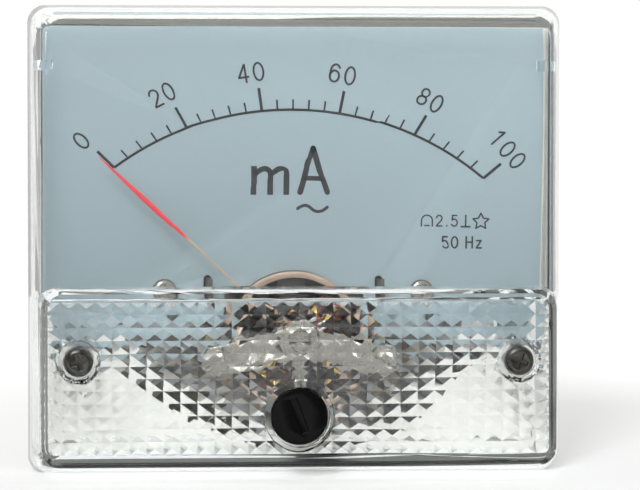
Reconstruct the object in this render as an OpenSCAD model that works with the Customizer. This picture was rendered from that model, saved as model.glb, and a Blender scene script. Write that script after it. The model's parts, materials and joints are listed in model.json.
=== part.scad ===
// Rectangular analog panel meter: clear stepped cover, printed dial and a core-magnet moving-coil movement.
// Front faces -Y, up is +Z, origin at the centre of the flange's rear face. Millimetres.

/* [Housing] */
// Width of the front
face_w = 64; // [62:0.5:68]
// Height of the front
face_h = 56; // [54:0.5:60]
// Corner radius of the front
corner_r = 2.2; // [1:0.1:3]
// Thickness of the flange
flange_t = 3; // [2.6:0.1:4]
// Diameter of the round body that passes through the panel
body_d = 52; // [51:0.5:54]
// Depth of the round body behind the flange
body_len = 29; // [27:0.5:34]
// Wall of the housing
wall = 2; // [1.6:0.1:2.4]
// Chamfer round the rear end of the body
body_chamfer = 0.8; // [0.3:0.1:1.2]
// Width of the ledge that carries the dial and locates the cover
ledge_w = 1.6; // [1.2:0.1:2]
// Height of that ledge over the flange
ledge_h = 1.2; // [1:0.1:1.5]

/* [Cover] */
// Wall of the clear cover
cover_wall = 1.7; // [1.4:0.05:1.8]
// Depth of the upper window in front of the flange
upper_depth = 7; // [6.8:0.1:8]
// How far the lower window stands in front of the upper one
step_depth = 3; // [3:0.1:4]
// Height of the step line over the bottom edge
step_rise = 22.2; // [21.6:0.1:22.8]
// Inset of the cover's front at each side
side_inset = 1.75; // [1.3:0.05:1.8]
// Lean of the cover's inner sides for each millimetre of depth
inner_lean = 0.1; // [0.08:0.01:0.12]
// Inset of the cover's front at top and bottom
top_inset = 1.5; // [1:0.1:2]
// Blunting of the cover's front edges
edge_round = 0.4; // [0.2:0.05:0.6]
// Lean of the step's top face
step_lean = 0.35; // [0.1:0.05:0.6]
// Pitch of the prisms across
prism_w = 2; // [1.8:0.1:2.6]
// Pitch of the prisms up and down
prism_h = 1.5; // [1.3:0.1:2]
// Height of the ridges between the prism pits
prism_t = 0.5; // [0.3:0.05:0.55]

/* [Cover screws] */
// Distance of each cover screw from the side of the front
cover_screw_inset = 6; // [5.6:0.1:6.6]
// Height of the cover screws over the bottom edge
cover_screw_rise = 13.8; // [13:0.1:13.8]
// Head diameter of a cover screw
cover_head_d = 3.5; // [3:0.1:3.8]
// Head height of a cover screw
cover_head_h = 1; // [0.8:0.1:1.2]
// Thread diameter of a cover screw
cover_thread_d = 2; // [1.6:0.1:2.2]
// Depth of the well round a cover screw's head
well_depth = 1.6; // [1.2:0.1:2]

/* [Zero adjuster] */
// Height of the adjuster's centre over the bottom edge
adjuster_rise = 7.3; // [7:0.1:7.6]
// Diameter of the adjuster's disc
adjuster_d = 6.8; // [6:0.1:7.2]
// Depth of the disc's front behind the cover's front
adjuster_recess = 1.5; // [1.2:0.1:1.8]
// Thickness of the disc
adjuster_t = 0.9; // [0.7:0.1:1.2]
// Diameter of the adjuster's neck
neck_d = 4.5; // [4:0.1:4.8]
// Offset of the eccentric pin from the adjuster's centre
pin_offset = 1.2; // [1:0.05:1.4]
// Diameter of the eccentric pin
pin_d = 1.2; // [1:0.1:1.4]
// Width of the screwdriver slot
slot_w = 0.9; // [0.7:0.1:1.1]
// Length of the screwdriver slot
slot_len = 4.3; // [3.5:0.1:5]
// Turn of the slot away from upright
slot_turn = -20; // [-30:1:30]

/* [Dial] */
// Gap between the dial's sides and the ledge's outer edge
dial_side_gap = 0.3; // [0.1:0.05:0.5]
// Gap between the dial's top and the ledge's outer edge
dial_top_gap = 0.6; // [0.2:0.05:1]
// Height of the dial's lower edge over the bottom edge
dial_rise = 16; // [15.8:0.1:18]
// Thickness of the dial plate
dial_t = 0.5; // [0.4:0.05:0.6]
// Radius of the printed arc
arc_r = 36; // [35:0.1:36.6]
// Distance of the arc's centre below the pivot
arc_drop = 8.6; // [8:0.1:9.2]
// Line width of the printed arc
arc_line = 0.28; // [0.15:0.01:0.4]
// Length of a major tick
major_len = 2.7; // [2:0.1:3]
// Length of a minor tick
minor_len = 1.2; // [0.8:0.1:1.6]
// Line width of a major tick
major_line = 0.33; // [0.2:0.01:0.45]
// Line width of a minor tick
minor_line = 0.2; // [0.1:0.01:0.3]
// Number of numbered divisions
divisions = 5; // [4:1:6]
// Parts in each numbered division
subdivisions = 5; // [2:1:5]
// Turn of the print about the pivot
print_turn = 0.8; // [0:0.1:1.5]
// Distance of each dial screw from the centre line
dial_screw_x = 15.3; // [15:0.1:16]
// Height of the dial screws over the bottom edge
dial_screw_rise = 21.7; // [21:0.1:22]
// Head diameter of a dial screw
dial_head_d = 2.9; // [2.5:0.1:3.2]
// Thread diameter of a dial screw
dial_thread_d = 1.6; // [1.4:0.1:1.8]

/* [Movement] */
// Height of the pivot axis over the bottom edge
pivot_rise = 16; // [15.7:0.1:16.3]
// Outer radius of the iron ring
ring_r = 8.15; // [8:0.05:8.3]
// Wall of the iron ring
ring_wall = 0.8; // [0.7:0.05:1]
// Length of the iron ring
ring_len = 12; // [11.6:0.1:12.4]
// Radius of the core magnet
core_r = 5; // [4.8:0.05:5]
// Length of the core magnet
core_len = 9; // [8:0.1:9]
// Width of the blocks that carry the core
carrier_w = 3.4; // [2.6:0.1:3.6]
// Width of the coil's sides
coil_w = 2.4; // [2:0.1:2.6]
// Build of the winding
winding_t = 1.1; // [0.8:0.05:1.2]
// Sheet of the coil former
former_t = 0.25; // [0.2:0.05:0.3]
// Swing of the pointer over the whole scale
scale_sweep = 96; // [90:1:96]
// Angle of the pointer from upright at rest, left is negative
rest_angle = -47; // [-48:0.5:-45]
// Length of the pointer from the pivot to its tip
pointer_len = 31.8; // [30:0.1:32.2]
// Width of the pointer's lance at its widest
lance_w = 0.6; // [0.4:0.05:0.8]
// Width of the pointer's beam
beam_w = 0.3; // [0.2:0.05:0.4]
// Distance of each pointer stop from the centre line
stop_x = 10.2; // [10.1:0.1:10.6]
// Height of the stops' tops over the pivot
stop_rise = 7.6; // [7.2:0.1:7.6]
// Turns of each hairspring
spring_turns = 4.5; // [3.5:1:5.5]
// Outer radius of each hairspring
spring_r = 3.3; // [3:0.1:3.5]
// Diameter of the jewel screws
jewel_screw_d = 2.5; // [2:0.1:2.8]
// Distance of the bridges' pillars from the centre line
pillar_x = 9.9; // [9.8:0.1:10.4]
// Drop of the pillars below the pivot
pillar_drop = 2.2; // [2.2:0.1:2.6]

/* [Terminals and mounting] */
// Distance of each terminal from the centre line
terminal_x = 11; // [10:0.5:12]
// Thread diameter of a terminal
terminal_d = 4; // [3:0.5:4]
// Length of a terminal behind the body
terminal_len = 15; // [13:0.5:18]
// Distance of each mounting stud from the side and from the bottom of the front
stud_inset_x = 7.5; // [6.5:0.1:8]
stud_inset_z = 7; // [6:0.1:7.5]
// Thread diameter of a mounting stud
stud_d = 3; // [2.5:0.5:3]
// Length of a mounting stud behind the flange
stud_len = 14; // [10:0.5:18]

/* [Hidden] */
$fn = 48;

// Clearances: slip between a part and its seat, running fit of a turning part, light gap, gap of a sliding fork
slip = 0.02;
running = 0.05;
loose = 0.15;
fork_gap = 0.08;

// Heights carried up from the bottom edge
bottom_z = -face_h / 2;
step_z = bottom_z + step_rise;
pivot_z = bottom_z + pivot_rise;
dial_bottom = bottom_z + dial_rise;
dial_screw_z = bottom_z + dial_screw_rise;
stop_top = pivot_z + stop_rise;
stop_low = pivot_z + 4.7;
notch_top = pivot_z + 6.3;

// Ledge, inside the cover's wall
ledge_gap = 0.15;
ledge_half_w = face_w / 2 - cover_wall - inner_lean * ledge_h - ledge_gap;
ledge_half_h = face_h / 2 - cover_wall - top_inset / upper_depth * ledge_h - ledge_gap;

// Planes along the depth, front to back
flange_y = -flange_t;
upper_y = flange_y - upper_depth;
lower_y = upper_y - step_depth;
upper_inner_y = upper_y + cover_wall;
lower_inner_y = lower_y + cover_wall;
ledge_y = flange_y - ledge_h;
dial_y = ledge_y - dial_t;
print_t = 0.04;
dial_w = 2 * (ledge_half_w - dial_side_gap);
dial_top = ledge_half_h - dial_top_gap;
boss_h = 1;
boss_y = flange_y - boss_h;

// Cover
cover_slope_x = side_inset / (upper_depth + step_depth);
cover_slope_z = top_inset / (upper_depth + step_depth);
upper_slope_x = side_inset / upper_depth;
film = 0.01;
cover_screw_x = face_w / 2 - cover_screw_inset;
cover_screw_z = bottom_z + cover_screw_rise;
adjuster_z = bottom_z + adjuster_rise;
stud_x = face_w / 2 - stud_inset_x;
stud_z = bottom_z + stud_inset_z;
lower_depth = upper_depth + step_depth;
inner_corner_r = 0.6;
lug_z = 20.6;
lug_h = 1.2;
lug_reach = 1;
lug_bury = 0.35;
lug_x = face_w / 2 - cover_wall - inner_lean * (upper_depth - cover_wall) - lug_reach;

// Cover screws
well_r = cover_head_d / 2 + 0.2;
well_wall = 0.75;
well_floor_y = lower_y + well_depth;
pillar_neck_y = dial_y - 0.5;
pillar_neck_r = cover_thread_d / 2 + 0.1 + 0.9;
cover_screw_tip_y = flange_y + 1.8;
cover_screw_boss_r = 2.6;

// Zero adjuster: the disc seats in a counterbore, its neck runs in a bore and a lip holds it
disc_y = lower_y + adjuster_recess;
bore_y = disc_y + adjuster_t;
bore_len = 1.1;
adjuster_hole_r = adjuster_d / 2 + 0.2;
adjuster_boss_r = adjuster_hole_r + 0.7;
lip_y = bore_y + bore_len + running;
lip_t = 0.5;
lip_r = neck_d / 2 + 0.35;
pin_reach = 1.3;

// Movement, front to back from the ring's front end
ring_y = dial_y - 1.3;
ring_bore_r = ring_r - ring_wall;
core_y = ring_y + 2;
coil_gap = 0.4;
former_half = core_r + coil_gap;
former_y0 = core_y - coil_gap;
former_y1 = core_y + core_len + coil_gap;
winding_half = former_half + former_t + winding_t;
coil_y0 = former_y0 - former_t - winding_t;
coil_y1 = former_y1 + former_t + winding_t;
pivot_r = 0.35;
pivot_base_r = 1.6;
pivot_base_t = 0.3;
collar_r = 0.8;
hub_back_to_base = 0.45;
hub_t = 0.5;
hub_r = 1.3;
hub_back_y = coil_y0 - pivot_base_t - hub_back_to_base;
hub_y = hub_back_y - hub_t;
pointer_t = 0.2;
pointer_y = hub_y - pointer_t;
collet_len = 0.6;
collet_r = 0.9;
front_collet_y = pointer_y - 0.15 - collet_len;
spring_h = 0.3;
spring_t = 0.1;
front_spring_y = front_collet_y + 0.1;
jewel_screw_r = jewel_screw_d / 2;
jewel_r = 0.5;
jewel_t = 0.5;
tip_depth = 0.15;
front_screw_y1 = front_collet_y - 0.1;
lever_t = 0.5;
lever_y = front_screw_y1 - 0.15 - lever_t;
bridge_t = 0.8;
front_bridge_y = lever_y - 0.2 - bridge_t;
lock_nut_t = 0.5;
front_screw_y0 = front_bridge_y - lock_nut_t - 0.1;
plate_y = ring_y + 7;
plate_t = 1.5;
plate_back_y = plate_y + plate_t;
rear_collet_y = coil_y1 + pivot_base_t + 0.7;
rear_spring_y = rear_collet_y + 0.15;
tab_y = rear_collet_y + collet_len + 0.6;
tab_t = 0.3;
insulator_t = 0.3;
rear_bridge_y = tab_y + tab_t + insulator_t;
rear_screw_y0 = rear_collet_y + collet_len + 0.15;
rear_screw_y1 = rear_bridge_y + bridge_t + lock_nut_t + 0.9;
lever_len = pivot_z - adjuster_z - pin_offset;
pillar_r = 1.4;
pillar_z = pivot_z - pillar_drop;
bridge_screw_r = 0.8;
bridge_head_r = 1.4;
bridge_head_h = 0.5;
bridge_screw_len = 3;
movement_boss_in = 2.78;
movement_boss_x = sqrt(pow(body_d / 2 - wall - movement_boss_in, 2) - pow(pivot_z, 2));
movement_boss_r = 3;
movement_screw_r = 0.9;
movement_head_r = 1.8;
movement_head_h = 0.9;
movement_screw_tip_y = plate_back_y + 5;
plate_r = 11;
plate_wall_gap = 0.4;
arm_w = 5;
dial_post_r = 1.8;
dial_head_h = 0.8;
dial_screw_len = 3.5;
stop_slot_w = 0.9;
stop_t = 0.5;
stop_front_y = pointer_y - 0.3;
bridge_w = 3.6;
bridge_hub_r = 2.6;
tab_end_x = 6.9;
wire_r = 0.35;
wire_x = 13;
wire_z = -5.5;
tab_w = 1.6;
arm_r = 0.25;
weight_r = 0.7;
weight_len = 1;
weight_at = 4.2;

// Housing, board and terminals
cavity_r = body_d / 2 - wall;
floor_y = body_len - wall;
terminal_r = terminal_d / 2;
terminal_head_t = 2.5;
terminal_boss_h = 0.8;
terminal_boss_r = 4.6;
board_t = 1.6;
board_back_y = floor_y - terminal_head_t;
board_y = board_back_y - board_t;
board_half_w = 17;
board_z0 = -7;
board_z1 = 14;
board_nut_t = 2.4;
diode_r = 1.1;
diode_len = 4.2;
diode_pitch = 3;
diode_z = -4.5;
diode_lead_r = 0.25;
resistor_r = 1.5;
resistor_len = 9;
resistor_x = 7.5;
resistor_z = 10;
resistor_lead_r = 0.3;
lead_reach = 1;
lead_gap = 0.3;
washer_t = 0.8;
spring_washer_t = 1.1;
terminal_nut_t = 3.2;
nut_flats = 7;
lug_t = 0.6;
lug_disc_r = 3.9;
lug_w = 2.8;
lug_eye_z = 8.4;
lug_eye_r = 0.8;
washer_r = 4.4;
spring_washer_r = 3.5;
washer_y = body_len + terminal_boss_h;
lug_y = washer_y + washer_t;
spring_washer_y = lug_y + lug_t;
terminal_nut_y = spring_washer_y + spring_washer_t;
terminal_end_y = body_len + terminal_len;
terminal_grip_r = terminal_r - 0.23;
stud_head_r = stud_d / 2 + 0.9;
stud_groove_r = stud_d / 2 + 0.4;
stud_head_y0 = flange_y + 0.8;
stud_groove_y0 = stud_head_y0 * 2 / 3;
stud_groove_y1 = stud_head_y0 / 3;

// ---- Shared shapes ----

// Straight rod along the depth
module rod(r, y0, y1, x = 0, z = 0) {
    translate([x, y0, z]) rotate([-90, 0, 0]) cylinder(r = r, h = y1 - y0);
}

// Outline drawn in x and z, given a thickness from y0 to y1
module plate(y0, y1) {
    translate([0, y1, 0]) rotate([90, 0, 0]) linear_extrude(y1 - y0) children();
}

// Profile drawn in radius and depth, turned about an axis along the depth at x, z
module turned(x = 0, z = 0) {
    translate([x, 0, z]) rotate([-90, 0, 0]) rotate_extrude() children();
}

// Rectangle from its two corners
module area(x0, z0, x1, z1) {
    translate([x0, z0]) square([x1 - x0, z1 - z0]);
}

// Round-ended strip between two points
module strip(p, q, w) {
    translate(p) circle(w / 2);
    translate(q) circle(w / 2);
    translate(p) rotate(atan2(q.y - p.y, q.x - p.x)) translate([0, -w / 2]) square([norm(q - p), w]);
}

// Rectangle with round corners, centred
module round_area(w, h, r) {
    square([w - 2 * r, h], center = true);
    square([w, h - 2 * r], center = true);
    for (x = [-1, 1], z = [-1, 1]) translate([x * (w / 2 - r), z * (h / 2 - r)]) circle(r);
}

// Draws its child at both sides of the centre line
module both_sides() {
    for (side = [-1, 1]) scale_x(side) children();
}

module scale_x(side) {
    mirror([side < 0 ? 1 : 0, 0, 0]) children();
}

// Hexagon nut or head along the depth, by its width across flats
module hex(flats, y0, y1, x = 0, z = 0) {
    translate([x, y0, z]) rotate([-90, 0, 0]) cylinder(d = flats / cos(30), h = y1 - y0, $fn = 6);
}

// Pan head with a cross recess, seated on y and rising towards the front
module pan_head(r, h, y, x, z) {
    crown = 0.35 * h;
    difference() {
        turned(x, z) polygon([[0, y - h], [r - crown * 1.6, y - h], [r - crown * 0.4, y - h + crown * 0.6],
            [r, y - h + crown * 1.6], [r, y], [0, y]]);
        for (turn = [0, 90]) translate([x, y - h, z]) rotate([0, turn + 20, 0])
            cube([1.15 * r, h, 0.3 * r], center = true);
    }
}

// Places its child on the pivot axis, turned clockwise as seen from the front
module at_pivot(turn = 0) {
    translate([0, 0, pivot_z]) rotate([0, turn, 0]) children();
}

// Closed loop of the coil in x and depth, given a width along z
module coil_loop(half, y0, y1, t, r) {
    translate([0, (y0 + y1) / 2, -coil_w / 2]) linear_extrude(coil_w) difference() {
        round_area(2 * half, y1 - y0, r);
        round_area(2 * (half - t), y1 - y0 - 2 * t, r - 0.9 * min(t, r - 0.2));
    }
}

// Flat spiral ribbon that ends at the given angle, with the collet that it is pinned to
module hairspring(spring_y, collet_y, end_angle) {
    steps = round(spring_turns * 24);
    radii = [for (i = [0 : steps]) collet_r - spring_t / 2 + (spring_r - collet_r) * i / steps];
    turns = [for (i = [0 : steps]) end_angle - 360 * spring_turns * (1 - i / steps)];
    outer = [for (i = [0 : steps]) (radii[i] + spring_t / 2) * [cos(turns[i]), sin(turns[i])]];
    inner = [for (i = [steps : -1 : 0]) (radii[i] - spring_t / 2) * [cos(turns[i]), sin(turns[i])]];
    translate([0, 0, pivot_z]) plate(spring_y, spring_y + spring_h) polygon(concat(outer, inner));
    translate([0, 0, pivot_z]) plate(collet_y, collet_y + collet_len) difference() {
        circle(collet_r);
        circle(pivot_r + running);
    }
}

// Pivot with its base, collar and pointed tip, from the coil's end outwards along dir
module pivot(base_y, collar_len, tip_y, dir) {
    point = 0.45;
    collar_y = base_y + dir * pivot_base_t;
    turned(0, pivot_z) polygon([[0, base_y], [pivot_base_r, base_y], [pivot_base_r, collar_y],
        [collar_r, collar_y], [collar_r, collar_y + dir * collar_len], [pivot_r, collar_y + dir * collar_len],
        [pivot_r, tip_y - dir * point], [0, tip_y]]);
}

// Jewel screw from its slotted end to the end that holds the jewel
module jewel_screw(slot_y, jewel_y, dir) {
    difference() {
        rod(jewel_screw_r, min(slot_y, jewel_y), max(slot_y, jewel_y), 0, pivot_z);
        translate([0, jewel_y, pivot_z]) rotate([90 * dir, 0, 0])
            translate([0, 0, -1]) cylinder(r = jewel_r + slip, h = 1 + jewel_t);
        translate([0, slot_y, pivot_z]) cube([2 * jewel_screw_r + 1, 0.8, 0.5], center = true);
    }
}

// Jewel with its conical cup, mouth at mouth_y and body along dir
module jewel(mouth_y, dir) {
    turned(0, pivot_z) polygon([[0, mouth_y + dir * 0.3], [0.4, mouth_y], [jewel_r, mouth_y],
        [jewel_r, mouth_y + dir * jewel_t], [0, mouth_y + dir * jewel_t]]);
}

// Screw with a plain cylindrical slotted head seated on y, shank along dir
module small_screw(x, z, y, head_r, head_h, r, len, dir) {
    difference() {
        union() {
            rod(head_r, min(y, y - dir * head_h), max(y, y - dir * head_h), x, z);
            rod(r, min(y, y + dir * len), max(y, y + dir * len), x, z);
        }
        translate([x, y - dir * head_h, z]) rotate([0, 30, 0]) cube([2 * head_r + 1, head_h, 0.35], center = true);
    }
}

// Wire of straight runs with round corners
module wire(points, r) {
    for (i = [1 : len(points) - 1]) {
        run = points[i] - points[i - 1];
        translate(points[i - 1]) rotate([0, acos(run.z / norm(run)), atan2(run.y, run.x)])
            cylinder(r = r, h = norm(run));
        if (i < len(points) - 1) translate(points[i]) sphere(r = r);
    }
}

// Smooth curve through points, with n steps between each pair
function near(p, i) = p[max(0, min(len(p) - 1, i))];
function curve(p, n) = concat([for (i = [0 : len(p) - 2], k = [0 : n - 1])
    let (t = k / n, a = near(p, i - 1), b = p[i], c = p[i + 1], d = near(p, i + 2))
        (2 * b + (c - a) * t + (2 * a - 5 * b + 4 * c - d) * t * t + (3 * b - a - 3 * c + d) * t * t * t) / 2],
    [p[len(p) - 1]]);

// Tube of a given radius along a curve that never runs upright
module tube(points, r, sides = 10) {
    path = curve(points, 4);
    last = len(path) - 1;
    rings = [for (i = [0 : last])
        let (way = near(path, i + 1) - near(path, i - 1), along = way / norm(way), side = cross(along, [0, 0, 1]),
            u = side / norm(side), v = cross(u, along))
            for (k = [0 : sides - 1]) path[i] + r * (cos(360 * k / sides) * u + sin(360 * k / sides) * v)];
    walls = [for (i = [0 : last - 1], k = [0 : sides - 1])
        let (a = i * sides + k, b = i * sides + (k + 1) % sides)
            each [[a, b, a + sides], [b, b + sides, a + sides]]];
    ends = [[for (k = [sides - 1 : -1 : 0]) k], [for (k = [0 : sides - 1]) last * sides + k]];
    polyhedron(rings, concat(walls, ends));
}

// ---- Housing ----

module base_housing() {
    body_r = body_d / 2;
    stud_slip = slip;
    color([0.93, 0.93, 0.91]) difference() {
        union() {
            difference() {
                union() {
                    plate(flange_y, 0) round_area(face_w, face_h, corner_r);
                    plate(ledge_y, flange_y) difference() {
                        round_area(2 * ledge_half_w, 2 * ledge_half_h, corner_r);
                        round_area(2 * (ledge_half_w - ledge_w), 2 * (ledge_half_h - ledge_w), corner_r);
                    }
                    turned() polygon([[0, flange_y], [body_r, flange_y], [body_r, body_len - body_chamfer],
                        [body_r - body_chamfer, body_len], [0, body_len]]);
                }
                rod(cavity_r, flange_y - 1, floor_y);
            }
            both_sides() rod(movement_boss_r, plate_back_y, floor_y, movement_boss_x, pivot_z);
            both_sides() rod(cover_screw_boss_r, boss_y, flange_y, cover_screw_x, cover_screw_z);
            both_sides() rod(terminal_boss_r, body_len, washer_y, terminal_x);
        }
        both_sides() rod(movement_screw_r + slip, plate_back_y - 1, movement_screw_tip_y + 0.5,
            movement_boss_x, pivot_z);
        both_sides() rod(cover_thread_d / 2 + slip, boss_y - 1, cover_screw_tip_y + 0.3,
            cover_screw_x, cover_screw_z);
        both_sides() rod(terminal_r + slip, floor_y - 1, washer_y + 1, terminal_x);
        both_sides() stud_shape(stud_slip, 1);
    }
}

// Moulded-in stud, its grooved collar flush with the flange's back, or the pocket round it when grown
module stud_shape(grow, past) {
    stud_r = stud_d / 2 + grow;
    collar_r = stud_head_r + grow;
    groove_r = stud_groove_r + grow;
    turned(stud_x, stud_z) polygon([[0, stud_head_y0 - grow], [collar_r, stud_head_y0 - grow],
        [collar_r, stud_groove_y0 + grow], [groove_r, stud_groove_y0 + grow],
        [groove_r, stud_groove_y1 - grow], [collar_r, stud_groove_y1 - grow],
        [collar_r, grow], [stud_r, grow],
        [stud_r, stud_len + past - 0.4], [stud_r - 0.4, stud_len + past], [0, stud_len + past]]);
}

module mounting_studs() {
    color([0.72, 0.7, 0.62]) both_sides() stud_shape(0, 0);
}

// ---- Cover ----

// Four thin corner rounds of one section of the cover
module section_corners(half_w, z0, z1, r, y) {
    for (x = [-1, 1], z = [z0 + r, z1 - r]) translate([x * (half_w - r), y, z]) rotate([-90, 0, 0])
        cylinder(r = r, h = film, $fn = 32);
}

// Half width, low and high edge of the cover at a depth in front of the flange, less a margin
function upper_section(d, m) = [face_w / 2 - upper_slope_x * d - m,
    -face_h / 2 + top_inset / upper_depth * d + m, face_h / 2 - top_inset / upper_depth * d - m];
function lower_section(d, m) = [face_w / 2 - cover_slope_x * d - m,
    -face_h / 2 + cover_slope_z * d + m, step_z + step_lean * (lower_depth - d) / step_depth - m];

// The same for the hollow, whose sides have a lean of their own
function hollow_section(section, d) = [face_w / 2 - cover_wall - inner_lean * d, section[1], section[2]];

module section_at(s, r, y) {
    section_corners(s[0], s[1], s[2], r, y);
}

// Solid outer form of the cover
module cover_outside() {
    hull() {
        section_at(upper_section(0, 0), corner_r, flange_y - film);
        section_at(upper_section(upper_depth - edge_round, 0), corner_r, upper_y + edge_round);
        section_at(upper_section(upper_depth, edge_round), corner_r, upper_y);
    }
    hull() {
        section_at(lower_section(0, 0), corner_r, flange_y - film);
        section_at(lower_section(lower_depth - edge_round, 0), corner_r, lower_y + edge_round);
        section_at(lower_section(lower_depth, edge_round), corner_r, lower_y);
    }
}

// Hollow of the cover
module cover_inside() {
    upper_in = upper_depth - cover_wall;
    lower_in = lower_depth - cover_wall;
    hull() {
        section_at(hollow_section(upper_section(0, cover_wall), 0), inner_corner_r, flange_y);
        section_at(hollow_section(upper_section(upper_in, cover_wall), upper_in), inner_corner_r, upper_inner_y);
    }
    hull() {
        section_at(hollow_section(lower_section(0, cover_wall), 0), inner_corner_r, flange_y);
        section_at(hollow_section(lower_section(lower_in, cover_wall), lower_in), inner_corner_r, lower_inner_y);
    }
}

// Saw-tooth outline with its ridges on whole pitches, from -count to count pitches
function teeth(pitch, height, count, root) = concat([[-count * pitch, -root]],
    [for (i = [-2 * count : 2 * count]) [i * pitch / 2, i % 2 == 0 ? height : 0]], [[count * pitch, -root]]);

// Ridges across and up the inner face of the lower window, with a four-sided pit in each cell between them
module prisms() {
    lower_in = lower_depth - cover_wall;
    window = hollow_section(lower_section(lower_in, cover_wall), lower_in);
    columns = ceil(window[0] / prism_w);
    mid_z = (window[1] + window[2]) / 2;
    half_z = (window[2] - window[1]) / 2;
    rows = ceil(half_z / prism_h);
    bury = 0.4;
    intersection() {
        union() {
            translate([0, lower_inner_y, window[1] - bury]) linear_extrude(2 * (half_z + bury))
                polygon(teeth(prism_w, prism_t, columns, bury));
            translate([-window[0] - bury, lower_inner_y, mid_z]) rotate([90, 0, 90])
                linear_extrude(2 * (window[0] + bury))
                    polygon([for (p = teeth(prism_h, prism_t, rows, bury)) [p.y, p.x]]);
        }
        translate([-window[0] - bury, lower_inner_y - bury, window[1] - bury])
            cube([2 * (window[0] + bury), bury + prism_t, 2 * (half_z + bury)]);
    }
}

module front_cover() {
    lug_y0 = upper_inner_y - 0.2;
    color([0.9, 0.93, 0.95, 0.4]) difference() {
        union() {
            difference() {
                cover_outside();
                cover_inside();
            }
            prisms();
            both_sides() rod(well_r + well_wall, lower_inner_y - 0.2, pillar_neck_y, cover_screw_x, cover_screw_z);
            both_sides() rod(pillar_neck_r, pillar_neck_y, boss_y, cover_screw_x, cover_screw_z);
            rod(adjuster_boss_r, lower_inner_y - 0.2, lip_y - running, 0, adjuster_z);
            both_sides() translate([lug_x, lug_y0, lug_z - lug_h / 2]) cube([lug_reach + lug_bury, dial_y - lug_y0 - 0.4, lug_h]);
        }
        both_sides() rod(well_r, lower_y - 1, well_floor_y, cover_screw_x, cover_screw_z);
        both_sides() rod(cover_thread_d / 2 + 0.1, lower_y - 1, boss_y + 1, cover_screw_x, cover_screw_z);
        rod(adjuster_hole_r, lower_y - 1, bore_y, 0, adjuster_z);
        rod(neck_d / 2 + running, lower_y - 1, lip_y + 1, 0, adjuster_z);
    }
}

module cover_screws() {
    color([0.35, 0.35, 0.34]) both_sides() {
        pan_head(cover_head_d / 2, cover_head_h, well_floor_y, cover_screw_x, cover_screw_z);
        rod(cover_thread_d / 2, well_floor_y, cover_screw_tip_y, cover_screw_x, cover_screw_z);
    }
}

module zero_adjuster() {
    disc_r = adjuster_d / 2;
    rim = 0.15;
    color([0.06, 0.06, 0.06]) difference() {
        union() {
            turned(0, adjuster_z) polygon([[0, disc_y], [disc_r - rim, disc_y], [disc_r, disc_y + rim],
                [disc_r, bore_y], [neck_d / 2, bore_y], [neck_d / 2, lip_y], [lip_r, lip_y],
                [neck_d / 2, lip_y + lip_t], [0, lip_y + lip_t]]);
            rod(pin_d / 2, lip_y + lip_t - 0.1, lip_y + lip_t + pin_reach, 0, adjuster_z + pin_offset);
        }
        translate([0, disc_y, adjuster_z]) rotate([0, slot_turn, 0]) cube([slot_w, 1, slot_len], center = true);
    }
}

// ---- Dial ----

module dial_plate() {
    slot_r = stop_slot_w / 2;
    color([0.6, 0.67, 0.69]) plate(dial_y, ledge_y) difference() {
        area(-dial_w / 2, dial_bottom, dial_w / 2, dial_top);
        area(-ring_r - loose, dial_bottom - 1, ring_r + loose, notch_top);
        translate([0, pivot_z]) circle(ring_r + running);
        for (x = [-1, 1]) {
            translate([x * dial_screw_x, dial_screw_z]) circle(dial_thread_d / 2 + 0.1);
            strip([x * stop_x, stop_low + slot_r - loose], [x * stop_x, stop_top - slot_r], stop_slot_w);
        }
    }
}

module scale_marks() {
    first = rest_angle;
    total = divisions * subdivisions;
    centre = [0, -arc_drop];
    color([0.05, 0.05, 0.05]) translate([0, 0, pivot_z]) rotate([0, print_turn, 0])
        plate(dial_y - print_t, dial_y) {
            intersection() {
                translate(centre) difference() {
                    circle(arc_r + arc_line / 2, $fn = 180);
                    circle(arc_r - arc_line / 2, $fn = 180);
                }
                polygon([[0, 0], 2 * arc_r * dial_ray(first), [0, 2 * arc_r], 2 * arc_r * dial_ray(first + scale_sweep)]);
            }
            for (i = [0 : total]) {
                angle = first + scale_sweep * i / total;
                major = i % subdivisions == 0;
                line = major ? major_line : minor_line;
                rotate(-angle) translate([-line / 2, arc_distance(angle)])
                    square([line, major ? major_len : minor_len]);
            }
        }
}

// Direction of a ray from the pivot, clockwise from upright
function dial_ray(angle) = [sin(angle), cos(angle)];
// Distance from the pivot to the arc along that ray
function arc_distance(angle) = sqrt(pow(arc_r, 2) - pow(arc_drop * sin(angle), 2)) - arc_drop * cos(angle);

module dial_screws() {
    color([0.75, 0.74, 0.7]) both_sides() {
        pan_head(dial_head_d / 2, dial_head_h, dial_y, dial_screw_x, dial_screw_z);
        rod(dial_thread_d / 2, dial_y, dial_y + dial_screw_len, dial_screw_x, dial_screw_z);
    }
}

// ---- Movement: fixed parts ----

module movement_plate() {
    color([0.7, 0.71, 0.72]) difference() {
        union() {
            plate(plate_y, plate_back_y) intersection() {
                circle(body_d / 2 - wall - plate_wall_gap);
                union() {
                    translate([0, pivot_z]) circle(plate_r);
                    for (x = [-1, 1]) {
                        strip([0, pivot_z], [x * movement_boss_x, pivot_z], 2 * movement_boss_r);
                        strip([0, pivot_z], [x * dial_screw_x, dial_screw_z], arm_w);
                        strip([0, pivot_z], [x * pillar_x, pillar_z], 2 * pillar_r + 1);
                    }
                }
            }
            both_sides() rod(dial_post_r, ledge_y, plate_y, dial_screw_x, dial_screw_z);
        }
        rod(ring_r + slip, plate_y - 1, plate_back_y + 1, 0, pivot_z);
        both_sides() rod(movement_screw_r + slip, plate_y - 1, plate_back_y + 1, movement_boss_x, pivot_z);
        both_sides() rod(dial_thread_d / 2 + slip, ledge_y - 1, dial_y + dial_screw_len + 0.5,
            dial_screw_x, dial_screw_z);
    }
}

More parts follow.
